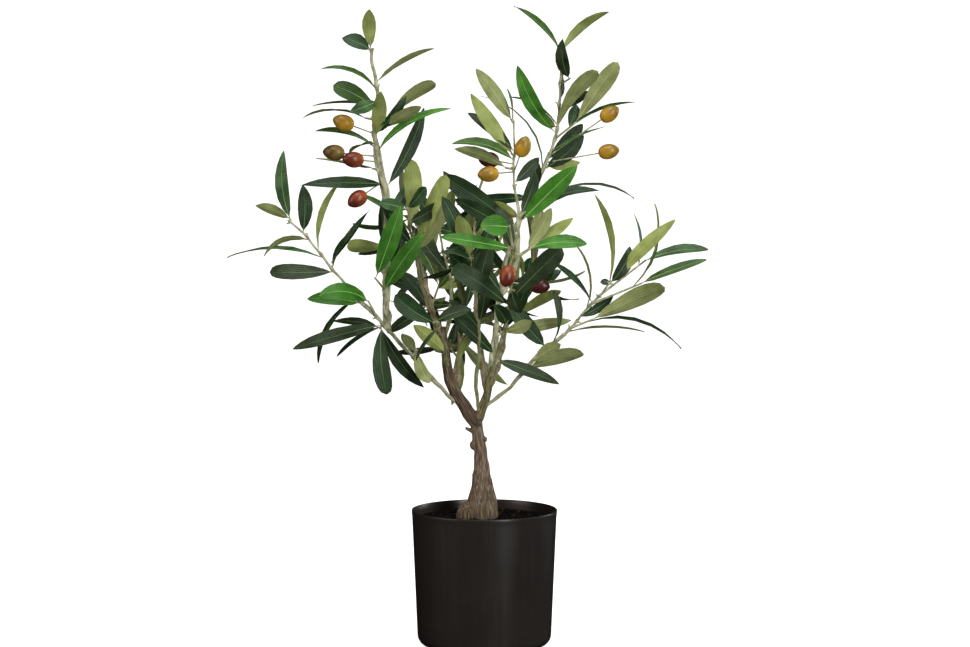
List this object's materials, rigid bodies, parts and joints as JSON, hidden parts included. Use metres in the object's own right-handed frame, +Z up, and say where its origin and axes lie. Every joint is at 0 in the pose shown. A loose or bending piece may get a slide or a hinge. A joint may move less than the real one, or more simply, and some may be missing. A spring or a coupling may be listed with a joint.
{
  "type": "artificial potted olive tree",
  "caption": "Artificial olive tree with a forked bark trunk, curved narrow leaves and a few olives, standing in a plain round black plastic pot.",
  "frame": {"origin": "middle of the pot's flat underside, on the surface that the pot stands on", "axes": "+Z up along the pot's axis, -Y the front that the trunk's fork opens across, +X to the viewer's right"},
  "size_m": [0.4467, 0.3544, 0.5994],
  "materials": {
    "pot": "satin moulded black plastic",
    "fill": "matt, dark crumb over a cast core",
    "bark": "matt painted bark relief",
    "stem": "matt moulded plastic, grey green",
    "foliage": "satin coated leaf fabric, green above and olive below",
    "olive": "glossy painted plastic, ochre to red brown"
  },
  "bodies": {
    "root": {"pot": "pot", "pot_fill": "fill", "trunk": "bark", "left_bough": "bark", "right_bough": "bark", "low_left_spray": "foliage", "top_left_spray": "foliage", "mid_left_spray": "foliage", "centre_left_spray": "foliage", "front_left_spray": "foliage", "knot_shoot_spray": "foliage", "low_shoot_spray": "foliage", "middle_spray": "foliage", "front_centre_spray": "foliage", "centre_spray": "foliage", "top_right_spray": "foliage", "low_right_spray": "foliage", "back_left_spray": "foliage", "back_low_spray": "foliage", "back_centre_spray": "foliage", "back_right_spray": "foliage", "low_left_bough": "stem", "centre_left_bough": "stem", "front_left_bough": "stem", "middle_bough": "stem", "front_centre_bough": "stem", "top_right_bough": "stem", "low_right_bough": "stem", "back_left_bough": "stem", "back_low_bough": "stem", "back_centre_bough": "stem", "back_right_bough": "stem"}
  },
  "joints": []
}
